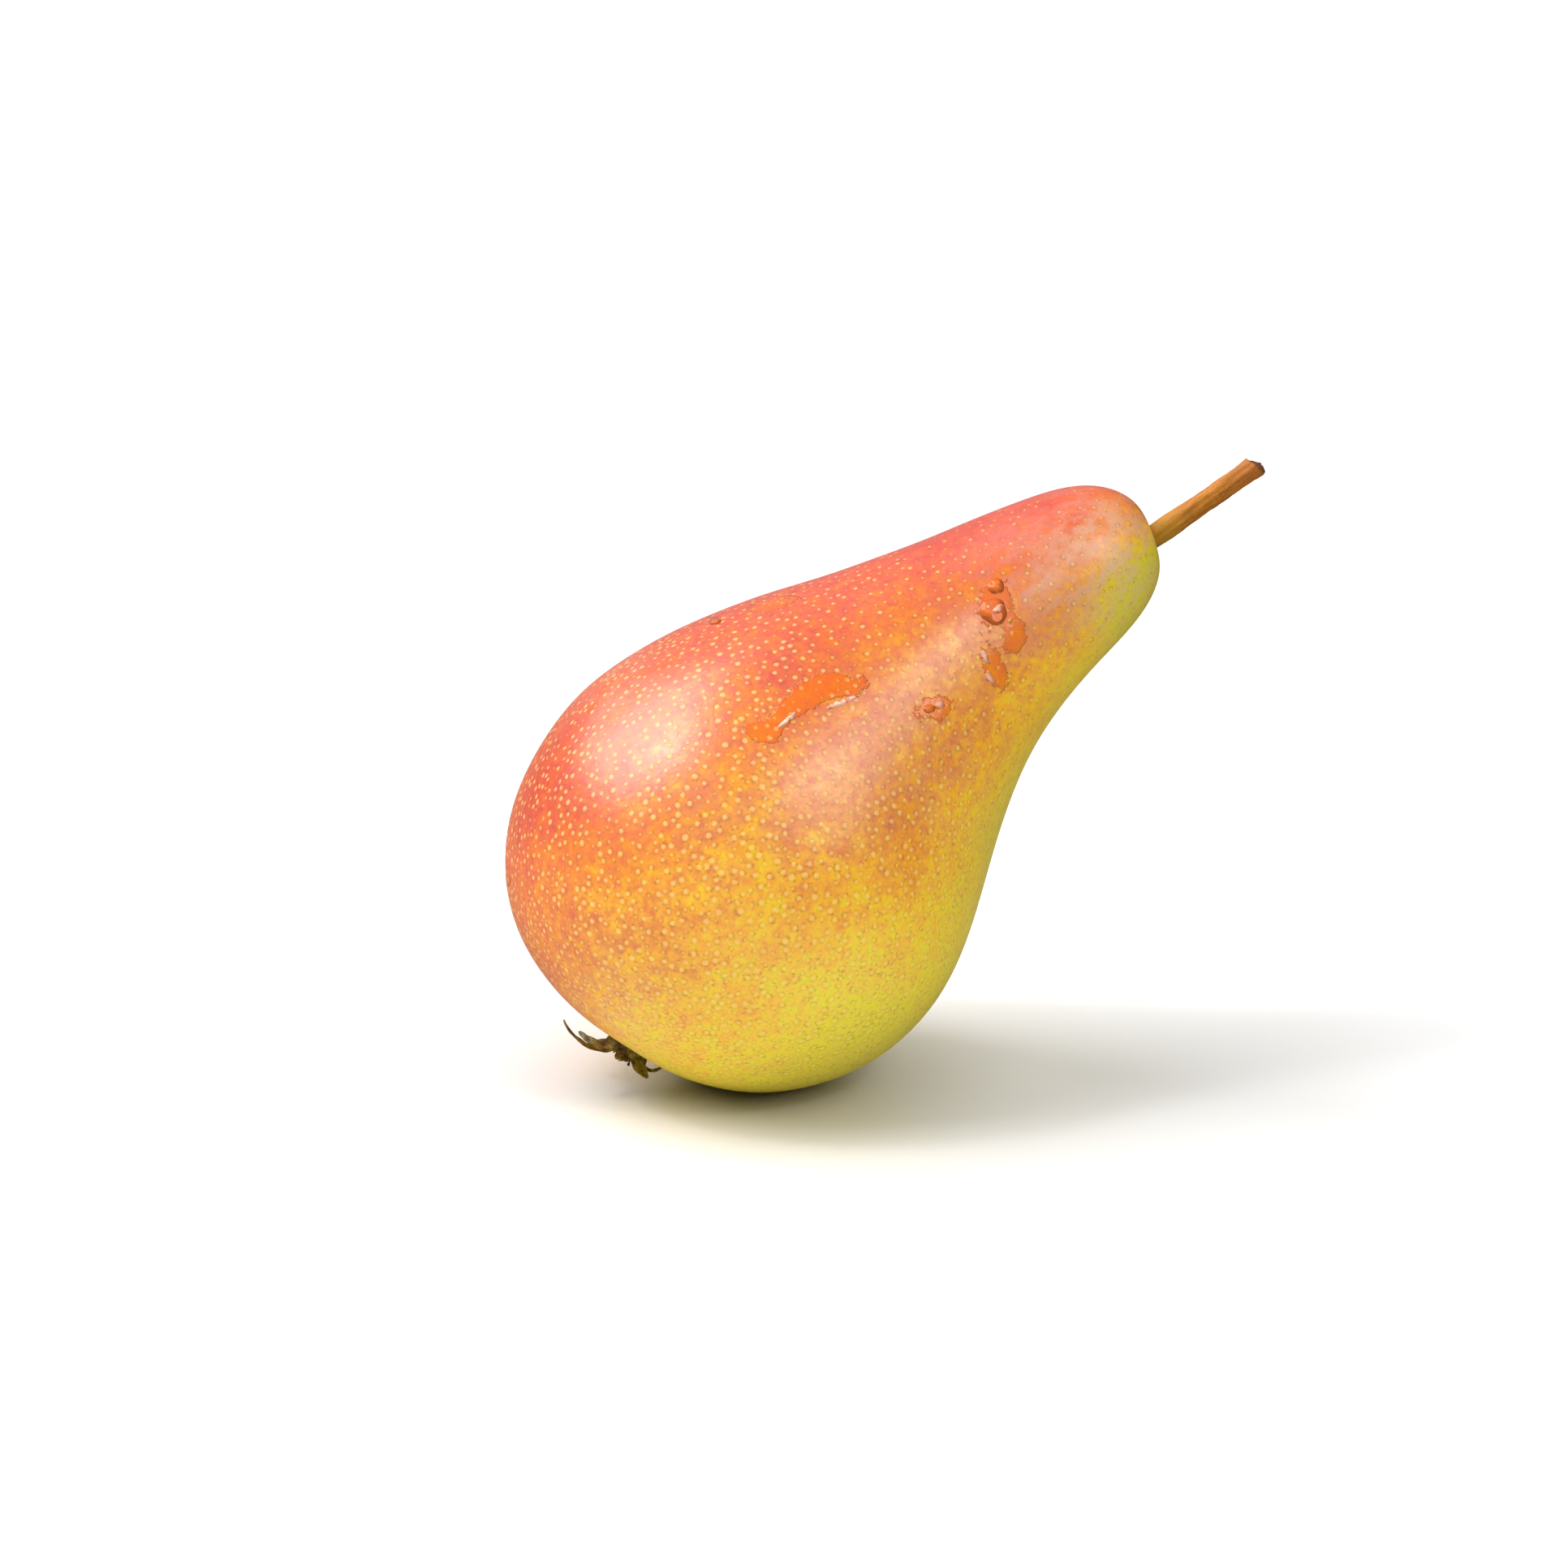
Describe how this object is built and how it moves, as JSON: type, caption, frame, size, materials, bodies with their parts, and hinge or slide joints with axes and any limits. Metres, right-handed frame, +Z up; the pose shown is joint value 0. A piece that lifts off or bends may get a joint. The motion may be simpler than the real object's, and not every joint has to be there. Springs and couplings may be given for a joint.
{
  "type": "pear",
  "caption": "Ripe dessert pear as picked, with its woody stalk and dried calyx, resting on a small flat spot on the side of its bulb.",
  "frame": {"origin": "middle of the small flat spot that the fruit rests on", "axes": "+Z up from the surface it rests on, +X towards the stalk's side, +Y away from the side that the picture shows"},
  "size_m": [0.1041, 0.0642, 0.0843],
  "materials": {
    "skin": "thin waxy skin, red and coral over yellow green, with pale dots",
    "stalk": "ridged golden brown bark, dark at the cut end",
    "dry_calyx": "dried, matt olive brown",
    "dry_stamens": "dried, matt dark brown"
  },
  "bodies": {
    "root": {"fruit": "skin", "stem": "stalk", "calyx": "dry_calyx", "stamens": "dry_stamens"}
  },
  "joints": []
}
